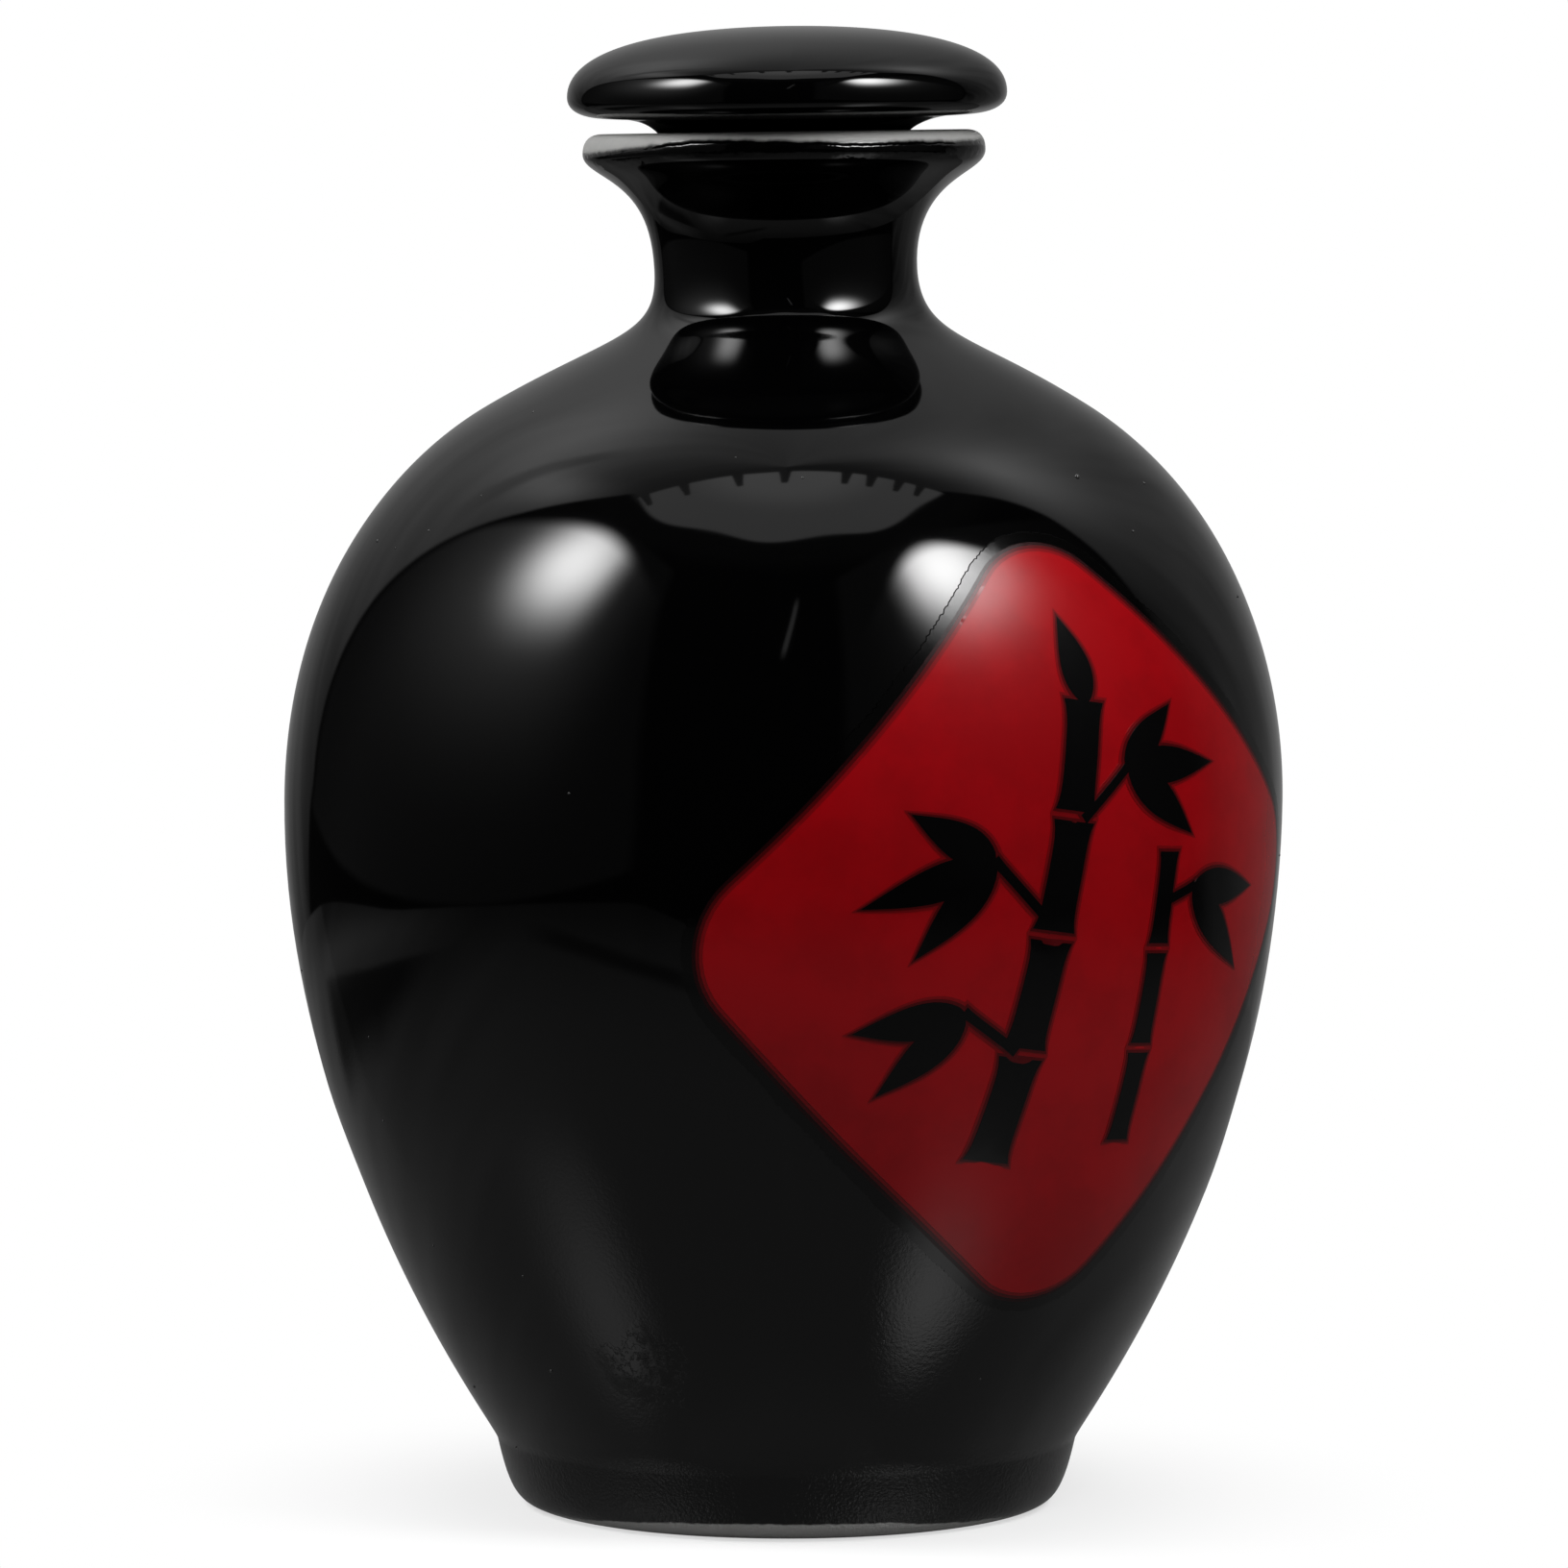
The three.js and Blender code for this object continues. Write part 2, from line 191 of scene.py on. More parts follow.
def joined(*runs):
    points = []
    for run in runs:
        for p in run:
            if not points or (p - points[-1]).length > 1e-5:
                points.append(p)
    return points


def belly_outline(steps):
    crease, belly = vec(CREASE_RADIUS, CREASE_HEIGHT), vec(BELLY_RADIUS, BELLY_HEIGHT)
    shoulder, neck = vec(SHOULDER_RADIUS, SHOULDER_HEIGHT), vec(NECK_RADIUS, NECK_HEIGHT)
    run = heading(math.pi - SHOULDER_SLOPE)
    return joined(
        cubic(crease, crease + heading(CREASE_SLOPE) * CREASE_FULLNESS,
              belly + DOWN * LOWER_FULLNESS, belly, steps),
        cubic(belly, belly + UP * UPPER_FULLNESS,
              shoulder - run * SHOULDER_FULLNESS, shoulder, steps),
        cubic(shoulder, shoulder + run * SHOULDER_FULLNESS,
              neck + DOWN * NECK_ROOT_FULLNESS, neck, steps),
    )


def foot_outline():
    contact, crease = vec(FOOT_RADIUS, 0), vec(CREASE_RADIUS, CREASE_HEIGHT)
    return cubic(contact, contact + heading(TOE_RISE) * TOE_FULLNESS,
                 crease - heading(CREASE_SLOPE) * TOE_TOP_FULLNESS, crease, 20)


def lip_outline():
    neck, lip = vec(NECK_RADIUS, NECK_HEIGHT), vec(LIP_RADIUS, LIP_HEIGHT)
    return joined(
        cubic(neck, neck + UP * NECK_FLARE_FULLNESS, lip + DOWN * LIP_FULLNESS, lip, 28),
        quadratic(lip, vec(LIP_RADIUS, RIM_HEIGHT), vec(LIP_RADIUS - RIM_ROUNDING, RIM_HEIGHT), 12),
    )


def hollow_outline():
    outline = belly_outline(24)
    inner = []
    for i, p in enumerate(outline):
        run = (outline[min(i + 1, len(outline) - 1)] - outline[max(i - 1, 0)]).normalized()
        inner.append(vec(p.x - run.y * WALL, p.y + run.x * WALL))
    throat = RIM_HEIGHT - BORE_DEPTH
    inner = [p for p in inner if p.x > BORE_RADIUS and FLOOR_HEIGHT + WALL / 2 < p.y < throat]
    inner.reverse()
    low = inner[-1]
    corner = quadratic(low, vec(low.x - WALL / 2, FLOOR_HEIGHT),
                       vec(low.x - 2 * WALL, FLOOR_HEIGHT), 8)
    return joined(inner, corner, [vec(0, FLOOR_HEIGHT)])


def jar_outline():
    mouth = COLLAR_RADIUS + SEAT_GAP * math.sqrt(2)
    funnel_end = vec(BORE_RADIUS, RIM_HEIGHT - (mouth - BORE_RADIUS))
    ring_inner = FOOT_RADIUS - FOOT_RING_WIDTH
    return joined(
        [vec(0, BASE_RECESS), vec(ring_inner - BASE_RECESS, BASE_RECESS), vec(ring_inner, 0)],
        foot_outline(),
        belly_outline(48),
        lip_outline(),
        straight(vec(mouth, RIM_HEIGHT), funnel_end, 4),
        straight(funnel_end, vec(BORE_RADIUS, RIM_HEIGHT - BORE_DEPTH), 6),
        hollow_outline(),
    )


def stopper_outline():
    top, edge = vec(0, CAP_TOP), vec(CAP_RADIUS, CAP_EDGE_HEIGHT)
    underside = vec(UNDERSIDE_RADIUS, UNDERSIDE_HEIGHT)
    collar_neck = vec(COLLAR_RADIUS, RIM_HEIGHT)
    collar_bottom = RIM_HEIGHT - (COLLAR_RADIUS - SLEEVE_RADIUS)
    bead_top = STEM_BOTTOM + BEAD_HEIGHT
    hole_top = STEM_BOTTOM + STEM_HOLE_DEPTH
    hole_side = vec(STEM_HOLE_RADIUS, hole_top - STEM_HOLE_RADIUS)
    return joined(
        cubic(top, top + OUT * CAP_FLATNESS, edge + UP * CAP_ROUNDNESS, edge, 40),
        cubic(edge, edge + DOWN * CAP_EDGE_FULLNESS, underside + OUT, underside, 14),
        quadratic(underside, vec(COLLAR_RADIUS + COLLAR_FILLET, UNDERSIDE_HEIGHT), collar_neck, 12),
        straight(collar_neck, vec(SLEEVE_RADIUS, collar_bottom), 4),
        [vec(STEM_RADIUS, collar_bottom), vec(STEM_RADIUS, bead_top)],
        quadratic(vec(BEAD_RADIUS, bead_top), vec(BEAD_RADIUS, STEM_BOTTOM),
                  vec(BEAD_RADIUS - BEAD_HEIGHT / 2, STEM_BOTTOM), 6),
        [vec(STEM_HOLE_RADIUS, STEM_BOTTOM), hole_side],
        quadratic(hole_side, vec(STEM_HOLE_RADIUS, hole_top), vec(0, hole_top), 8),
    )


def sleeve_outline():
    inner, outer = STEM_RADIUS + SEAT_GAP, SLEEVE_RADIUS - RIB_DEPTH
    pitch = (SLEEVE_TOP - SLEEVE_BOTTOM) / RIB_COUNT
    half = RIB_HALF_SHARE * pitch
    chamfer = SLEEVE_CHAMFER
    points = [vec(inner, SLEEVE_TOP), vec(outer - chamfer, SLEEVE_TOP), vec(outer, SLEEVE_TOP - chamfer)]
    for i in range(RIB_COUNT):
        middle = SLEEVE_TOP - (i + 0.5) * pitch
        for j in range(9):
            t = j / 8 * 2 - 1
            bulge = RIB_DEPTH * math.cos(t * math.pi / 2) ** 0.7
            points.append(vec(outer + bulge, middle - t * half))
    points += [vec(outer, SLEEVE_BOTTOM + chamfer), vec(outer - chamfer, SLEEVE_BOTTOM),
               vec(inner, SLEEVE_BOTTOM)]
    return points


# Meshes

def step(value, low, high):
    """0 below low, 1 above high and a smooth rise between them."""
    t = min(max((value - low) / (high - low), 0), 1)
    return t * t * (3 - 2 * t)


def hump(value, middle, half_width):
    """1 at the middle and a half at the half width."""
    return 0.5 ** (((value - middle) / half_width) ** 2)


def view_right(x, y):
    """How far a point lies to the right of the axis in the photograph's view."""
    return x * math.cos(CAMERA_AZIMUTH) + y * math.sin(CAMERA_AZIMUTH)


def view_near(x, y):
    """How far a point lies from the axis towards the camera."""
    return x * math.sin(CAMERA_AZIMUTH) - y * math.cos(CAMERA_AZIMUTH)


def in_view(right, near, z):
    """The place so far to the right of the axis and towards the camera in the photograph's view."""
    x = right * math.cos(CAMERA_AZIMUTH) + near * math.sin(CAMERA_AZIMUTH)
    y = right * math.sin(CAMERA_AZIMUTH) - near * math.cos(CAMERA_AZIMUTH)
    return vec(x, y, z) * MM


def tilted(x, y, z):
    """The lip's tilt, which grows from the neck to the rim and goes on into the stopper."""
    return z + RIM_TILT * step(z, NECK_HEIGHT, RIM_HEIGHT) * view_right(x, y)


def jar_place(x, y, z):
    """A point of the jar with the potter's hand in it: the axis strays a little sideways."""
    stray = sum(size * hump(z, middle, half_width) for size, middle, half_width in AXIS_STRAYS)
    stray += FOOT_STRAY * step(-z, -FOOT_STRAY_ENDS, -FOOT_STRAY_FADES)
    across = heading(CAMERA_AZIMUTH) * stray
    return vec(x + across.x, y + across.y, tilted(x, y, z)) * MM


def stopper_place(x, y, z):
    """A point of the stopper: its cap dips towards the camera and sits a little to the right."""
    share = step(z, RIM_HEIGHT, UNDERSIDE_HEIGHT)
    across = heading(CAMERA_AZIMUTH) * CAP_SHIFT * share
    return vec(x + across.x, y + across.y, tilted(x, y, z) - CAP_DIP * share * view_near(x, y)) * MM


def new_object(name, vertices, faces):
    mesh = bpy.data.meshes.new(name)
    mesh.from_pydata(vertices, [], faces)
    mesh.validate()
    mesh.update()
    obj = bpy.data.objects.new(name, mesh)
    bpy.context.scene.collection.objects.link(obj)
    return obj


def smooth(obj, degrees=35):
    obj.data.shade_smooth()
    obj.data.set_sharp_from_angle(angle=math.radians(degrees))


def turned(name, outline, place, closed_ring=False):
    """A solid of revolution. The outline starts and ends on the axis, or closes on itself."""
    vertices, rings = [], []
    for p in outline:
        if p.x < 1e-6:
            rings.append([len(vertices)] * SEGMENTS)
            vertices.append(place(0, 0, p.y))
            continue
        rings.append(list(range(len(vertices), len(vertices) + SEGMENTS)))
        for k in range(SEGMENTS):
            angle = 2 * math.pi * k / SEGMENTS
            vertices.append(place(p.x * math.cos(angle), p.x * math.sin(angle), p.y))
    pairs = list(zip(rings, rings[1:]))
    if closed_ring:
        pairs.append((rings[-1], rings[0]))
    faces = []
    for low, high in pairs:
        for k in range(SEGMENTS):
            n = (k + 1) % SEGMENTS
            face = []
            for corner in (low[k], low[n], high[n], high[k]):
                if corner not in face:
                    face.append(corner)
            faces.append(face)
    obj = new_object(name, vertices, faces)
    smooth(obj)
    return obj


SURFACE = belly_outline(160)
SURFACE_LENGTH = [0.0]
for before, after in zip(SURFACE, SURFACE[1:]):
    SURFACE_LENGTH.append(SURFACE_LENGTH[-1] + (after - before).length)


def surface_step(height):
    """The number of the outline's first point at or above a height."""
    return next(i for i, p in enumerate(SURFACE) if p.y >= height)


ABOVE_LABEL = surface_step(LABEL_HEIGHT)
LABEL_START = SURFACE_LENGTH[ABOVE_LABEL] - (SURFACE[ABOVE_LABEL].y - LABEL_HEIGHT)


def laid(x, y):
    """Where a point of the flat label lies on the belly: how far round it, and how far up."""
    x += LABEL_LEAN * y
    across = x * math.cos(LABEL_TURN) - y * math.sin(LABEL_TURN)
    up = x * math.sin(LABEL_TURN) + y * math.cos(LABEL_TURN)
    return across * (1 + LABEL_TAPER * up), up + LABEL_SAG * across * across


def on_belly(x, y, lift):
    """A point of the label, flat from its centre, at lift off the glaze."""
    u, v = laid(x, y)
    length = LABEL_START + v
    low, high = 0, len(SURFACE) - 1
    while high - low > 1:
        middle = (low + high) // 2
        if SURFACE_LENGTH[middle] > length:
            high = middle
        else:
            low = middle
    share = (length - SURFACE_LENGTH[low]) / (SURFACE_LENGTH[high] - SURFACE_LENGTH[low])
    at = SURFACE[low].lerp(SURFACE[high], share)
    run = (SURFACE[high] - SURFACE[low]).normalized()
    r = at.x + run.y * lift
    angle = u / at.x
    return jar_place(r * math.sin(angle), -r * math.cos(angle), at.y - run.x * lift)


def film(name, outlines, lift):
    """A thin closed skin on the belly inside flat outlines, with a grid of points to follow it."""
    points, loops = [], []
    for outline in outlines:
        loops.append(list(range(len(points), len(points) + len(outline))))
        points += outline
    low = vec(min(p.x for p in points), min(p.y for p in points))
    high = vec(max(p.x for p in points), max(p.y for p in points))
    columns, rows = (int((high[i] - low[i]) / FILM_GRID) + 1 for i in range(2))
    for i in range(1, columns):
        for j in range(1, rows):
            points.append(vec(low.x + (i + 0.25 * (j % 2)) * FILM_GRID, low.y + j * FILM_GRID))
    flat, _, triangles, *_ = delaunay_2d_cdt(points, [], loops, 1, 1e-5)
    n = len(flat)
    vertices = [on_belly(p.x, p.y, height) for height in (lift, lift + FILM) for p in flat]
    faces, edges = [], set()
    for a, b, c in triangles:
        faces += [(a + n, b + n, c + n), (c, b, a)]
        edges |= {(a, b), (b, c), (c, a)}
    faces += [(a, b, b + n, a + n) for a, b in edges if (b, a) not in edges]
    obj = new_object(name, vertices, faces)
    smooth(obj, 50)
    return obj


# Label shapes

def rounded_diamond(half_diagonal, corner, spacing=1.3):
    """A square on its corner, with round corners."""
    centre = half_diagonal - corner * math.sqrt(2)
    side_steps = round(centre * math.sqrt(2) / spacing)
    arc_steps = round(corner * math.pi / 2 / spacing)
    points = []
    for quarter in range(4):
        middle = quarter * math.pi / 2
        turns = [middle + math.pi / 2 * (i / arc_steps - 0.5) for i in range(arc_steps + 1)]
        arc = [heading(middle) * centre + heading(turn) * corner for turn in turns]
        next_start = heading(middle + math.pi / 2) * centre + heading(middle + math.pi / 4) * corner
        points += arc + straight(arc[-1], next_start, side_steps)[1:-1]
    return points


def torn(points):
    """The outline with the small scallops and slower waves of a torn film's edge."""
    edge = []
    for p in points:
        scallop = abs(noise.noise(vec(p.x, p.y, 0) / TEAR_LENGTH))
        wave = TEAR_WAVE * noise.noise(vec(p.x, p.y, 9) / TEAR_WAVE_LENGTH)
        edge.append(p * (1 - TEAR_REACH * (scallop + wave) / p.length))
    return edge


def leaf(x, y, degrees, length, grow):
    """A pointed leaf from its stalk end, widest a little over a third of the way along."""
    run = heading(math.radians(degrees))
    across = vec(-run.y, run.x)
    root = vec(x, y) - run * grow * LEAF_TIP_GROWTH
    length += 2 * grow * LEAF_TIP_GROWTH
    steps = 18
    right, left = [], []
    for i in range(steps + 1):
        share = i / steps
        half = (LEAF_WIDTH / 2 + grow) * math.sin(math.pi * share**LEAF_SKEW)
        at = root + run * share * length
        if i < steps:
            right.append(at - across * half)
        if i > 0:
            left.append(at + across * half)
    return right + left[::-1]


def stalk_section(start, end, width, grow):
    """A straight section whose ends swell a little, as at a bamboo joint."""
    run = (end - start).normalized()
    across = vec(-run.y, run.x)
    start, end = start - run * grow, end + run * grow
    length = (end - start).length
    right, left = [], []
    for i in range(13):
        t = i / 12
        swell = STALK_WAIST + (1 - STALK_WAIST) * abs(2 * t - 1) ** 5
        at = start + run * t * length
        half = width / 2 * swell + grow
        right.append(at - across * half)
        left.append(at + across * half)
    return right + left[::-1]


def stalk(start, end, sections, width, grow):
    run = (end - start).normalized()
    pitch = ((end - start).length + STALK_JOINT) / sections
    ends = [(i * pitch, (i + 1) * pitch - STALK_JOINT) for i in range(sections)]
    return [stalk_section(start + run * low, start + run * high, width, grow) for low, high in ends]


def bamboo(grow):
    """A spray of bamboo: two stalks, twigs by their ends, and leaves by root, direction and length."""
    twigs = [((0.6, 10.8), (7, 15.4)), ((-3, 1), (-9.5, 8)),
             ((11, 1.2), (16, 2)), ((-6.2, -11), (-12, -6.5))]
    leaves = [(6.6, 15.2, -8, 13), (6.6, 15.2, -42, 12), (6.2, 15, 34, 9),
              (-9.3, 7.8, 196, 14), (-9.3, 7.8, 228, 12), (-9.3, 7.8, 150, 10),
              (15.6, 2, -12, 12), (15.6, 1.8, -48, 13),
              (-11.8, -6.6, 188, 11), (-11.8, -6.8, 224, 11), (2.4, 21.6, 100, 9)]
    marks = stalk(vec(-8, -22), vec(2, 22), 4, STALK_WIDTH, grow)
    marks += stalk(vec(7, -22), vec(12, 6), 3, SLIM_STALK_WIDTH, grow)
    marks += [stalk_section(vec(*a), vec(*b), TWIG_WIDTH, grow) for a, b in twigs]
    marks += [leaf(*values, grow) for values in leaves]
    return marks


# Materials

class Nodes:
    """Adds nodes to one material, or to the world, and links them."""

    def __init__(self, owner):
        self.owner = owner
        owner.use_nodes = True
        self.tree = owner.node_tree
        self.tree.nodes.clear()

    def fill(self, socket, value):
        """Sets a socket to a value, or links another node's output to it."""
        if isinstance(value, bpy.types.NodeSocket):
            self.tree.links.new(value, socket)
        else:
            socket.default_value = value

    def add(self, kind, inputs=None, **settings):
        node = self.tree.nodes.new("ShaderNode" + kind)
        for key, value in settings.items():
            setattr(node, key, value)
        for key, value in (inputs or {}).items():
            self.fill(node.inputs[key], value)
        return node

    def math(self, operation, a, b=0.0, clamp=False):
        node = self.add("Math", {0: a, 1: b}, operation=operation, use_clamp=clamp)
        return node.outputs[0]

    def less(self, a, b):
        return self.math("SUBTRACT", a, b)

    def off(self, value, middle):
        """How far a value lies from a middle, to either side."""
        return self.math("ABSOLUTE", self.less(value, middle))

    def product(self, total, *values):
        for value in values:
            total = self.math("MULTIPLY", total, value)
        return total

    def scaled_sum(self, *terms):
        """The sum of pairs of a factor and a value."""
        total = 0.0
        for factor, value in terms:
            total = self.math("ADD", total, self.math("MULTIPLY", value, factor))
        return total

    def ramp(self, value, low, high, out_low=0.0, out_high=1.0):
        """A smooth rise or fall between two values."""
        inputs = {"Value": value, "From Min": low, "From Max": high,
                  "To Min": out_low, "To Max": out_high}
        return self.add("MapRange", inputs, interpolation_type="SMOOTHSTEP").outputs[0]

    def blend(self, factor, a, b):
        """A number between two others."""
        return self.add("Mix", {"Factor": factor, "A": a, "B": b}, data_type="FLOAT").outputs[0]

    def mix(self, factor, a, b):
        """A colour between two others, which are the Mix node's inputs 6 and 7."""
        return self.add("Mix", {"Factor": factor, 6: a, 7: b}, data_type="RGBA").outputs[2]

    def place(self):
        return self.add("TexCoord").outputs["Object"]

    def height(self):
        return self.add("SeparateXYZ", {0: self.place()}).outputs["Z"]

    def along(self, direction):
        """How far the place lies in a level direction."""
        inputs = {0: self.place(), 1: (direction.x, direction.y, 0)}
        return self.add("VectorMath", inputs, operation="DOT_PRODUCT").outputs["Value"]

    def noise(self, scale, detail=3.0, roughness=0.5, vector=None):
        inputs = {"Vector": vector or self.place(), "Scale": scale,
                  "Detail": detail, "Roughness": roughness}
        return self.add("TexNoise", inputs).outputs["Fac"]

    def sway(self, scale, size, detail=2.0, roughness=0.5, vector=None):
        """Noise to either side of zero."""
        return self.product(self.less(self.noise(scale, detail, roughness, vector), 0.5), size)

    def bump(self, height, distance, strength=1.0, normal=None):
        inputs = {"Height": height, "Distance": distance, "Strength": strength}
        if normal:
            inputs["Normal"] = normal
        return self.add("Bump", inputs).outputs["Normal"]

    def finish(self, shader, output="OutputMaterial"):
        self.tree.links.new(shader.outputs[0], self.add(output).inputs["Surface"])
        return self.owner


def scaled(color, factor=1.0):
    """A colour made darker or left as it is, with its alpha of 1."""
    return tuple(c * factor for c in color) + (1,)


def clay(n, tone, color):
    """Bare porcelain, stained a little in places."""
    return n.mix(tone, scaled(color), scaled(color, CLAY_STAIN))


def glaze_material(name, bare_above, bare_below, satin_below, low_clay):
    """Black glaze, satin below one height, that ends past two others in a soft line on porcelain."""
    n = Nodes(bpy.data.materials.new(name))
    z = n.height()
    right = n.along(heading(CAMERA_AZIMUTH))
    near = n.along(heading(CAMERA_AZIMUTH - math.pi / 2))

    # Wavy ends: at the lip lower on the view's left, and at the foot drawn up in front
    edge = n.math("ADD", z, n.math("ADD", n.sway(110, 0.0007), n.sway(900, 0.0003)))
    thick = n.math("ADD", edge, n.ramp(right, -0.0195, -0.010, 0.0013, 0))
    bare_lip = n.ramp(thick, bare_above - 0.0003, bare_above + 0.0002)
    front = n.product(n.ramp(n.math("ABSOLUTE", right), 0.006, 0.0235, 0.0011, 0),
                      n.ramp(near, 0, 0.015))
    bare_foot = n.ramp(n.less(edge, front), bare_below - 0.00012, bare_below + 0.00012, 1, 0)
    bare = n.math("ADD", bare_lip, bare_foot, clamp=True)
    tone = n.noise(700, 3, 0.6)
    # On the jar the lower porcelain carries painted light: the foot's clay is painted lighter than the
    # lip's
    porcelain = n.mix(bare_foot, clay(n, tone, LIP_CLAY), clay(n, tone, low_clay))

    # Satin on the lower belly, and more so on the toe
    drifting = n.math("ADD", z, n.sway(28, 0.03, 3, 0.6))
    satin = n.ramp(drifting, satin_below - 0.022, satin_below + 0.014, 1, 0)
    toe = n.ramp(z, 0.006, 0.009, 1, 0)
    rough = n.scaled_sum((0.07, satin), (1, GLAZE_ROUGHNESS), (0.05, toe))

    # Orange peel, the bead of glaze at the lip, fine grain, the speckled toe and the crawled patch
    peel = n.bump(n.noise(55, 2, 0.4), 0.0006, 0.10)
    bead = n.product(n.ramp(thick, bare_above - 0.0018, bare_above - 0.0006, 0.2, 1),
                     n.ramp(thick, bare_above - 0.0006, bare_above - 0.0001, 1, 0))
    beaded = n.bump(bead, 0.0003, 0.7, peel)
    grain = n.bump(n.product(n.noise(2600, 3, 0.6), satin), 0.00006, 0.25, beaded)
    speckle = n.bump(n.product(n.noise(3200, 2, 0.6), toe), 0.0002, 0.5, grain)
    return n.finish(n.add("BsdfPrincipled", {
        "Base Color": n.mix(bare, scaled(GLAZE), porcelain),
        "Roughness": n.blend(bare, rough, CLAY_ROUGHNESS),
        "IOR": GLASS_IOR,
        "Normal": n.bump(crawled(n), 0.0003, 0.45, speckle),
    }))


# The middle of the patch where the glaze crawled
CRAWL_PLACE = tuple(in_view(-12.6, 31.5, 19.0))


def crawled(n):
    """Fine cracks and a few crumbs where the glaze crawled, in a patch low on the belly."""
    away = n.add("VectorMath", {0: n.place(), 1: CRAWL_PLACE}, operation="DISTANCE").outputs["Value"]
    ridges = n.off(n.noise(640, 3, 0.6), 0.5)
    cracks = n.math("ADD", n.ramp(ridges, 0, 0.02), n.ramp(n.noise(1900, 2, 0.6), 0.62, 0.68))
    ragged = n.math("ADD", away, n.sway(240, 0.006))
    return n.product(n.ramp(ragged, 0.001, 0.0055, 1, 0), cracks)


def silicone_material():
    n = Nodes(bpy.data.materials.new("silicone"))
    return n.finish(n.add("BsdfPrincipled", {
        "Base Color": n.mix(n.noise(300, 3), (0.62, 0.6, 0.54, 1), (0.7, 0.68, 0.63, 1)),
        "Roughness": 0.48,
        "IOR": 1.42,
        "Subsurface Weight": 0.25,
        "Subsurface Scale": 0.002,
        "Normal": n.bump(n.noise(1500, 2), 0.00005, 0.3),
    }))


def print_material(name, color, roughness, sheen=0.3):
    """One fired-on colour of the label: a little cloudy, with a fine grain under a satin skin."""
    n = Nodes(bpy.data.materials.new(name))
    clouds = n.ramp(n.noise(120, 4, 0.6), 0.35, 0.65)
    uneven = {"Value": n.noise(700, 3, 0.6), "To Min": roughness - 0.03, "To Max": roughness + 0.03}
    return n.finish(n.add("BsdfPrincipled", {
        "Base Color": n.mix(clouds, scaled(color), scaled(color, THIN_PRINT)),
        "Roughness": n.add("MapRange", uneven).outputs[0],
        "IOR": GLASS_IOR,
        "Specular IOR Level": sheen,
        "Normal": n.bump(n.noise(1800, 2), 0.00001, 0.1),
    }))


# Pieces

def build_jar():
    jar = turned("jar_glaze", jar_outline(), jar_place)
    jar.data.materials.append(glaze_material(
        "black_glaze", bare_above=LIP_GLAZE_END, bare_below=FOOT_GLAZE_END,
        satin_below=SATIN_HEIGHT, low_clay=FOOT_CLAY_PAINTED_LIGHTER))
    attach(jar, "jar")
    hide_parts("jar_body")


def dome(vertices, faces, centre, normal, radius):
    """A small half-round bump on a surface."""
    across = normal.orthogonal().normalized()
    up = normal.cross(across)
    rings, around = 4, 10
    start = len(vertices)
    vertices.append(centre + normal * radius * NIB_RISE)
    for j in range(1, rings + 1):
        t = j / rings * math.pi / 2
        rise = normal * (math.cos(t) * NIB_RISE - NIB_SINK)
        for k in range(around):
            a = 2 * math.pi * k / around
            side = across * math.cos(a) + up * math.sin(a)
            vertices.append(centre + (side * math.sin(t) + rise) * radius)
    for k in range(around):
        n = (k + 1) % around
        faces.append((start, start + 1 + k, start + 1 + n))
        for j in range(rings - 1):
            low, high = start + 1 + j * around, start + 1 + (j + 1) * around
            faces.append((low + k, high + k, high + n, low + n))


def build_nibs():
    """Specks of grit under the glaze: a few plain ones on the shoulder and small ones all over."""
    dice = random.Random(4)
    sizes = [NIB_RADIUS + NIB_SPREAD * dice.random() ** 4 for _ in range(NIB_COUNT)]
    spots = [(dice.uniform(-180, 180), dice.uniform(CREASE_HEIGHT, SHOULDER_HEIGHT), size)
             for size in sizes]
    vertices, faces = [], []
    for turn, height, radius in spots + list(PLAIN_NIBS):
        i = surface_step(height)
        at, run = SURFACE[i], (SURFACE[i + 1] - SURFACE[i]).normalized()
        a = math.radians(turn)
        centre = jar_place(at.x * math.sin(a), -at.x * math.cos(a), at.y)
        normal = vec(run.y * math.sin(a), -run.y * math.cos(a), -run.x)
        dome(vertices, faces, centre, normal, radius * MM)
    nibs = new_object("glaze_nibs", vertices, faces)
    smooth(nibs)
    n = Nodes(bpy.data.materials.new("grit"))
    grit = n.add("BsdfPrincipled", {"Base Color": GRIT, "Roughness": 0.3, "IOR": GLASS_IOR})
    nibs.data.materials.append(n.finish(grit))
    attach(nibs, "jar")


def build_stopper():
    cap = turned("stopper_cap", stopper_outline(), stopper_place)
    cap.data.materials.append(glaze_material(
        "stopper_glaze", bare_above=ABOVE_ALL, bare_below=COLLAR_GLAZE_END,
        satin_below=BELOW_ALL, low_clay=LIP_CLAY))
    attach(cap, "closure")
    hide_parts("stopper")


def build_sleeve():
    sleeve = turned("silicone_sleeve", sleeve_outline(), stopper_place, closed_ring=True)
    sleeve.data.materials.append(silicone_material())
    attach(sleeve, "closure")
    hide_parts("sealing_sleeve")


def label_ring(inset):
    """The label's outline moved in by a distance."""
    return [rounded_diamond(LABEL_HALF_DIAGONAL - inset * math.sqrt(2), LABEL_CORNER - inset)]


def film_rim(margin):
    """The margin's outline, standing out a little on one side."""
    rim = []
    for p in margin:
        out = p.normalized()
        rim.append(p + out * RIM_WIDTH * step(out.dot(vec(*RIM_HEADING)), RIM_STARTS, RIM_FULL))
    return rim


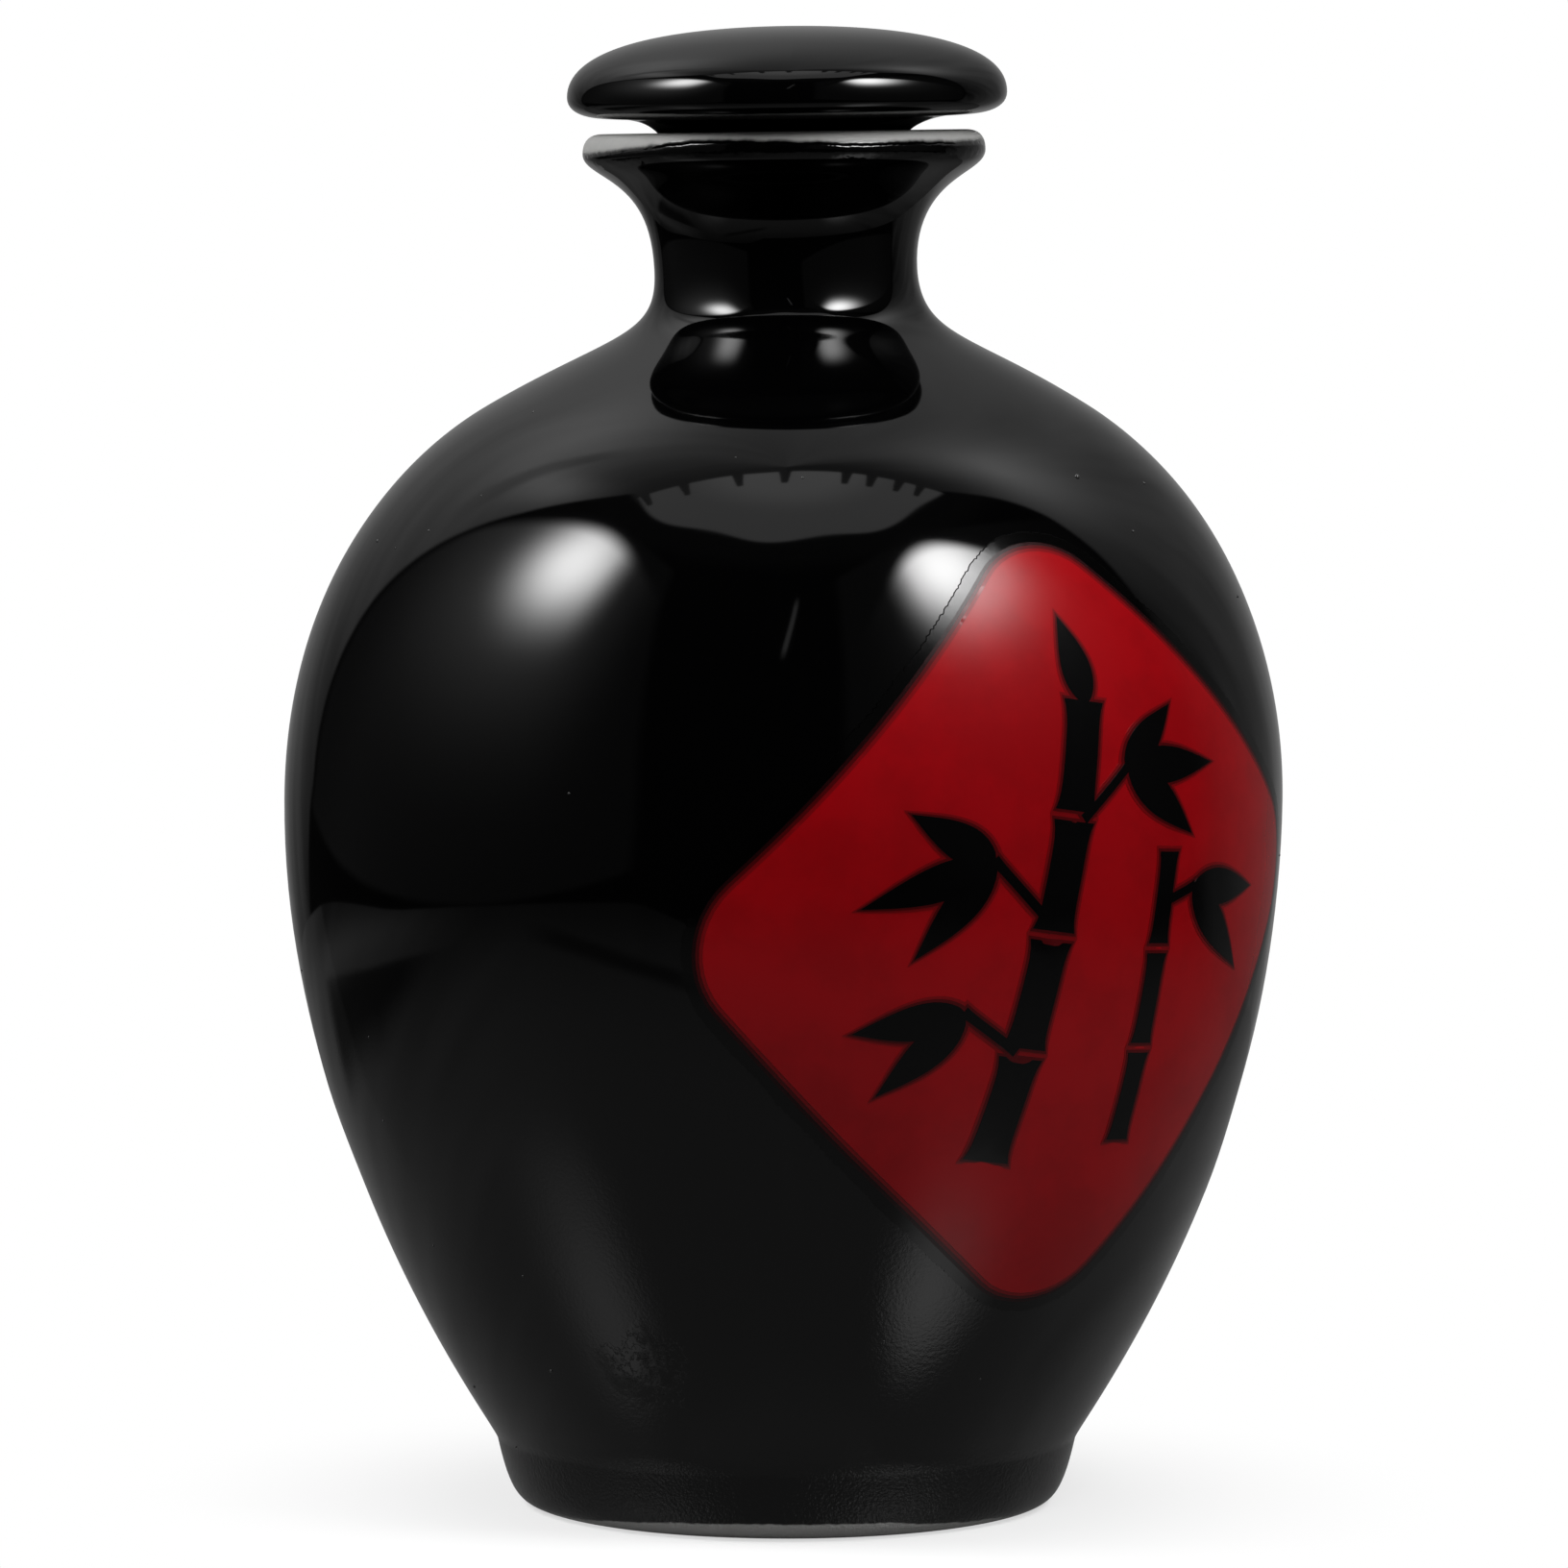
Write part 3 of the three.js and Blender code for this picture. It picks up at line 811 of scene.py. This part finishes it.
def build_label():
    whole = LABEL_HALF_DIAGONAL + MARGIN_WIDTH * math.sqrt(2)
    margin = torn(rounded_diamond(whole, LABEL_CORNER + MARGIN_WIDTH, TEAR_SPACING))
    crumbly = print_material("label_film_edge", (0.0004, 0.0004, 0.0004), 0.4, 0.03)
    clear = print_material("label_film", (0.0003, 0.0003, 0.0003), 0.1, 0.4)
    black = print_material("label_black", (0.0008, 0.0008, 0.0009), 0.17)
    ember = print_material("label_ember", (0.012, 0.0006, 0.0012), 0.24)
    dark_red = print_material("label_dark_red", (0.06, 0.0006, 0.0016), 0.24)
    mid_red = print_material("label_mid_red", (0.16, 0.0008, 0.0026), 0.24)
    red = print_material("label_red", (0.285, 0.0004, 0.0028), 0.22, 0.33)
    layers = [
        ("label_film_rim", [film_rim(margin)], crumbly),
        ("label_film_margin", [margin], clear),
        ("label_edge_ember", label_ring(0), ember),
        ("label_edge_dark", label_ring(EDGE_RING), dark_red),
        ("label_edge_mid", label_ring(EDGE_RING * 2), mid_red),
        ("label_red_field", label_ring(EDGE_RING * 3), red),
        ("label_brush_mid", bamboo(BRUSH_HALO), mid_red),
        ("label_brush_dark", bamboo(BRUSH_EDGE), dark_red),
        ("label_brushwork", bamboo(0), black),
    ]
    for order, (name, outlines, material) in enumerate(layers):
        piece = film(name, outlines, FILM * (1 + order))
        piece.data.materials.append(material)
        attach(piece, "jar")
        if name == "label_red_field":
            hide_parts("label_decal")


build_jar()
build_nibs()
build_stopper()
build_sleeve()
build_label()


# Studio

def only_reflected(obj):
    """A part of the studio that shows in the glaze but is neither the background nor a lamp."""
    obj.visible_camera = False
    obj.visible_diffuse = False
    obj.visible_transmission = False
    obj.visible_shadow = False
    obj.location.z = BELLY_HEIGHT * MM
    obj.rotation_euler.z = CAMERA_AZIMUTH


class Surroundings(Nodes):
    """What the glaze reflects, by azimuth from the camera and elevation from the jar, in degrees."""

    def __init__(self, owner):
        super().__init__(owner)
        self.axes = self.add("SeparateXYZ", {0: self.place()}).outputs
        self.towards = self.math("MULTIPLY", self.axes["Y"], -1)
        squares = [self.math("POWER", self.axes[axis], 2) for axis in "XY"]
        self.ring = self.math("SQRT", self.math("ADD", *squares))
        self.azimuth = self.math("DEGREES", self.math("ARCTAN2", self.axes["X"], self.towards))
        self.elevation = self.math("DEGREES", self.math("ARCTAN2", self.axes["Z"], self.ring))

    def lobe(self, azimuth, at, half_width, height, half_height, power=2.0):
        """A soft oval spot: 1 in the middle, and a half at its half width or half height."""
        across = self.math("DIVIDE", self.less(azimuth, at), half_width)
        up = self.math("DIVIDE", self.less(self.elevation, height), half_height)
        square = self.math("ADD", self.product(across, across), self.product(up, up))
        return self.math("POWER", 0.5, self.math("POWER", square, power / 2))

    def curve(self, value, start, slope, bend):
        """A parabola: its height at zero, its slope there, and its bend."""
        return self.scaled_sum((1, start), (slope, value), (bend, self.product(value, value)))

    def walls(self):
        """Pale tent walls at the sides and behind, brightest where the lamps outside strike them."""
        a, e = self.azimuth, self.elevation
        around = self.math("ABSOLUTE", a)
        left = self.product(self.ramp(e, -10, 45, 0.06, 0.33), self.ramp(around, 80, 130, 0.45, 1))
        right = self.product(self.ramp(e, 0, 75, 0.12, 0.38), self.ramp(around, 92, 135, 0.3, 1))
        to_right = self.ramp(self.math("DIVIDE", self.axes["X"], self.ring), -0.3, 0.3)
        sides = self.blend(to_right, left, right)
        behind = self.product(self.ramp(around, 138, 172, 0, 0.16), self.ramp(e, 0, 35, 1, 0))
        slanted = self.less(a, self.scaled_sum((1.3, e), (1, -1.3 * 53)))
        spread = self.scaled_sum((1, sides), (1, behind), (1, -0.015), (1, self.folds(1, 0.9, 90)),
                                 (0.52, self.lobe(a, -139, 19, 53, 11.5)),
                                 (0.6, self.lobe(slanted, -111, 9, 53.5, 6)),
                                 (0.87, self.lobe(a, 118, 11.2, 55, 10.5, 1.6)))
        seam = self.product(self.ramp(self.off(a, -126), 1, 5, 0.36, 0),
                            self.ramp(e, 28, 48), self.ramp(e, 56, 65, 1, 0))
        return self.product(spread, self.less(1, seam))

    def folds(self, across, up, start):
        """Soft slanting folds of the cloth at the sides, from so far round."""
        slant = self.scaled_sum((across, self.azimuth), (up, self.elevation))
        along = self.scaled_sum((0.2, self.elevation), (-0.2, self.azimuth))
        cloth = self.add("CombineXYZ", {"X": slant, "Y": along}).outputs[0]
        around = self.math("ABSOLUTE", self.azimuth)
        return self.product(self.sway(0.11, 0.12, vector=cloth),
                            self.ramp(around, start, start + 15), self.ramp(around, 150, 172, 1, 0))

    def window(self):
        """The opening overhead, a half disc in front of the jar, its back edge toothed by clips."""
        forward = self.math("DIVIDE", self.towards, self.axes["Z"])
        sideways = self.math("DIVIDE", self.axes["X"], self.axes["Z"])
        clips = (self.ramp(self.off(sideways, clip), 0.008, 0.018, 1, 0) for clip in TENT_CLIPS)
        teeth = self.scaled_sum(*((CLIP_DEPTH, clip) for clip in clips))
        back = self.less(self.scaled_sum((1, forward), (0.0475, sideways)), teeth)
        pitch = math.tau / 52
        wave = self.math("COSINE", self.scaled_sum((pitch, self.azimuth), (pitch, 8)))
        over = self.scaled_sum((1, self.elevation), (0.8, wave))
        inside = self.product(self.ramp(back, 0.026, 0.036), self.ramp(over, 64.2, 65.2))
        return inside, self.ramp(self.elevation, 72, 82, 0.62, 0.93)

    def panel(self, turn, inner, outer, lamp, width, height, top, arch, skew, peak, tail):
        """A lit side panel: its mask, and its light, with the lamp's spot cut by the top edge."""
        e = self.elevation
        off_lamp = self.less(turn, lamp)
        under_top = self.less(self.curve(off_lamp, top, 0, -0.005), e)
        under_arch = self.less(self.curve(off_lamp, top, 0, -arch), e)
        stretched = self.scaled_sum((1, turn), (-skew, self.math("MAXIMUM", off_lamp, 0)))
        off_foot = self.less(turn, 69)
        foot_rise = self.curve(self.math("MINIMUM", off_foot, 0), 0, 0, 0.0011)
        foot_edge = self.math("ADD", self.curve(off_foot, -11.45, 0, 0.0017), foot_rise)
        inside = self.less(outer, turn)
        mask = self.product(self.ramp(self.less(turn, inner), -2, 2), self.ramp(inside, -2, 2),
                            self.ramp(under_top, -1, 1), self.ramp(self.less(e, foot_edge), -0.5, 0.5))
        cut = self.ramp(under_arch, 0.5, 5.1)
        core = self.product(peak, self.lobe(stretched, lamp, width, height, 9.6, 2.3),
                            self.ramp(off_lamp, -23, -9.5), cut)
        glow = self.product(tail, self.lobe(turn, lamp + 5, 25, height, 22),
                            self.ramp(off_lamp, -40, -8), cut)
        face = self.product(0.038, self.ramp(inside, 0, 25, 0.5, 1))
        return mask, self.scaled_sum((1, face), (1, core), (1, glow))

    def slit(self):
        """A thin slanted line of light in the front gap, beside the camera."""
        away = self.off(self.azimuth, self.scaled_sum((0.3, self.elevation), (1, -10.5)))
        return self.product(0.4, self.ramp(away, 0.3, 0.9, 1, 0), self.ramp(self.elevation, 32, 36),
                            self.ramp(self.elevation, 45, 49, 1, 0))

    def light(self):
        """The whole tent: walls, the dark gap in front, the two lit panels and the opening."""
        e = self.elevation
        left_turn = self.math("MULTIPLY", self.azimuth, -1)
        left_outer = self.curve(e, 135, -0.25, -0.0075)
        high = self.math("MAXIMUM", self.less(e, 45), 0)
        right_outer = self.scaled_sum((1, self.curve(e, 105.5, 0, -0.001)),
                                      (1, self.curve(high, 0, 0, -0.033)))
        front = self.product(self.ramp(self.less(left_turn, left_outer), 0.5, 2.5, 1, 0),
                             self.ramp(self.less(self.azimuth, right_outer), 0.5, 2.5, 1, 0),
                             self.ramp(e, 64, 66, 1, 0))
        gap = self.math("ADD", self.ramp(e, 54, 60, 0.006, 0.022), self.slit())
        level = self.blend(front, self.walls(), gap)
        left = self.panel(left_turn, self.curve(e, 33, 0, 0.002), left_outer, lamp=71.5,
                          width=12.3, height=48, top=58.5, arch=0.009, skew=0, peak=17, tail=0.7)
        right = self.panel(self.azimuth, self.curve(e, 14, 0, 0.0012), right_outer, lamp=53,
                           width=11.6, height=50, top=59, arch=0.018, skew=0.22, peak=23, tail=0.25)
        for mask, value in (left, right, self.window()):
            level = self.blend(mask, level, value)
        return level


def build_tent():
    """The tent's inside, down to the table's far edge."""
    rows, columns = 24, 64
    vertices = []
    for j in range(rows + 1):
        e = math.radians(TENT_LOW + (90 - TENT_LOW) * j / rows)
        for i in range(columns):
            level = heading(2 * math.pi * i / columns) * math.cos(e)
            vertices.append(vec(level.x, level.y, math.sin(e)) * TENT_RADIUS)
    faces = []
    for j in range(rows):
        for i in range(columns):
            n = (i + 1) % columns
            low, high = j * columns, (j + 1) * columns
            faces.append((low + i, low + n, high + n, high + i))
    tent = new_object("tent", vertices, faces)
    n = Surroundings(bpy.data.materials.new("tent_light"))
    tent.data.materials.append(n.finish(n.add("Emission", {"Strength": n.light()})))
    only_reflected(tent)


def disc(name, radius, z):
    """A round level sheet."""
    steps = 96
    rim = [heading(2 * math.pi * k / steps) * radius for k in range(steps)]
    vertices = [vec(0, 0, z)] + [vec(p.x, p.y, z) for p in rim]
    return new_object(name, vertices, [(0, 1 + k, 1 + (k + 1) % steps) for k in range(steps)])


def build_table():
    """The glossy table, which mirrors the tent and glows with painted light and painted shade, and the
    tent's foot beyond its edge.
    """
    table = disc("table", TENT_RADIUS, TABLE_LIFT - BELLY_HEIGHT * MM)
    n = Surroundings(bpy.data.materials.new("table_top"))
    a, e = n.azimuth, n.elevation

    # Painted shade in the table's glow: a dark dip at the left, under a curved edge, and a dark crease
    # in front
    dip_top = n.curve(n.math("ADD", a, 97), -15.85, 0, 0.0016)
    dip_bottom = n.math("MAXIMUM", n.scaled_sum((0.19, a), (1, 0.19 * 89 - 19.5)), -22.2)
    dip_shade = n.product(0.8, n.ramp(n.less(dip_top, e), 0, 0.8), n.ramp(n.less(e, dip_bottom), -3, 3),
                    n.ramp(a, -135, -129), n.ramp(a, -96, -70, 1, 0))
    past_crease = n.math("ABSOLUTE", n.scaled_sum((1, e), (0.165, a), (1, 16.4 + 0.165 * 44)))
    crease = n.product(n.ramp(past_crease, 0.2, 1.6, 0.6, 0),
                       n.ramp(a, -60, -46), n.ramp(a, -24, -12, 1, 0))
    shade = n.product(n.less(1, dip_shade), n.less(1, crease))

    # Painted light on the table top: a glow that fades outwards and soft folds, both dimmed by the
    # painted shade, and a pale band at the left
    top_light = n.scaled_sum((1, n.product(n.ramp(n.ring, 0.08, 0.36, 0.135, 0.03), shade)),
                             (1, n.product(n.folds(0.35, -0.93, 55), shade)),
                             (0.075, n.lobe(a, -115, 22, -13.4, 1.7)))
    top = n.add("BsdfPrincipled", {
        "Base Color": (0, 0, 0, 1),
        "Roughness": 0.03,
        "IOR": GLASS_IOR,
        "Specular IOR Level": n.product(n.ramp(a, -60, 0, 0.13, 0.36), shade),
        "Emission Color": (1, 1, 1, 1),
        "Emission Strength": top_light,
    })
    beyond = n.add("Emission", {"Strength": n.light()})
    wider = n.product(0.065, n.ramp(a, -130, -90, 1, 0), n.ramp(a, -178, -150))
    narrower = n.product(0.07, n.ramp(a, -34, -16), n.ramp(a, 130, 175, 1, 0))
    past_edge = n.scaled_sum((1, n.ring), (-1, TABLE_REACH), (-1, wider), (1, narrower))
    edge = n.ramp(past_edge, -0.003, 0)
    shader = n.add("MixShader", {0: edge, 1: top.outputs[0], 2: beyond.outputs[0]})
    table.data.materials.append(n.finish(shader))
    only_reflected(table)


def build_lamp(name, azimuth, elevation, distance, size, power):
    """A soft lamp for the diffuse light. The tent's lit panels stand for it in the glaze."""
    data = bpy.data.lights.new(name, "AREA")
    data.size = size
    data.energy = power
    obj = bpy.data.objects.new(name, data)
    bpy.context.scene.collection.objects.link(obj)
    belly = vec(0, 0, BELLY_HEIGHT * MM)
    a, e = math.radians(azimuth) + CAMERA_AZIMUTH, math.radians(elevation)
    level = distance * math.cos(e)
    obj.location = belly + vec(level * math.sin(a), -level * math.cos(a), distance * math.sin(e))
    obj.rotation_euler = (belly - obj.location).to_track_quat("-Z", "Y").to_euler()
    obj.visible_camera = False
    obj.visible_glossy = False


def background_rays(n):
    """1 for the rays that see the background: camera, glossy and transmission."""
    path = n.add("LightPath").outputs
    seen = n.math("MAXIMUM", path["Is Camera Ray"], path["Is Glossy Ray"])
    return n.math("MAXIMUM", seen, path["Is Transmission Ray"])


def build_floor():
    """The white floor, which keeps the jar's shadow close to its foot."""
    floor = disc("floor", FLOOR_RADIUS, 0)
    n = Nodes(bpy.data.materials.new("pale_floor"))
    seen = background_rays(n)
    diffuse = n.add("BsdfDiffuse", {"Color": n.mix(seen, FLOOR_BOUNCE, FLOOR_SHADE)})
    white = n.add("Emission", {"Color": (1, 1, 1, 1), "Strength": 1.0})
    away = n.add("VectorMath", {0: n.place()}, operation="LENGTH").outputs["Value"]
    share = n.product(n.ramp(away, 0.02, 0.07, 0.6, 1), seen)
    shader = n.add("MixShader", {0: share, 1: diffuse.outputs[0], 2: white.outputs[0]})
    floor.data.materials.append(n.finish(shader))


def build_world():
    """White where it is seen, and dim as a light."""
    n = Nodes(bpy.data.worlds.new("studio"))
    inputs = {"Value": background_rays(n), "To Min": WORLD_LIGHT, "To Max": 1.0}
    strength = n.add("MapRange", inputs).outputs[0]
    background = n.add("Background", {"Color": (1, 1, 1, 1), "Strength": strength})
    bpy.context.scene.world = n.finish(background, "OutputWorld")


def build_camera():
    data = bpy.data.cameras.new("camera")
    data.sensor_width = 36.0
    data.lens = data.sensor_width / 2 / math.tan(CAMERA_FOV / 2)
    data.clip_start, data.clip_end = 0.05, 50.0
    camera = bpy.data.objects.new("camera", data)
    bpy.context.scene.collection.objects.link(camera)
    camera.location = in_view(0, CAMERA_DISTANCE, CAMERA_HEIGHT)
    camera.rotation_euler = (math.pi / 2 - CAMERA_PITCH, 0, CAMERA_AZIMUTH)
    bpy.context.scene.camera = camera


build_floor()
build_world()
build_tent()
build_table()
for values in LAMPS:
    build_lamp(*values)
build_camera()
bpy.context.scene.view_settings.view_transform = "Standard"
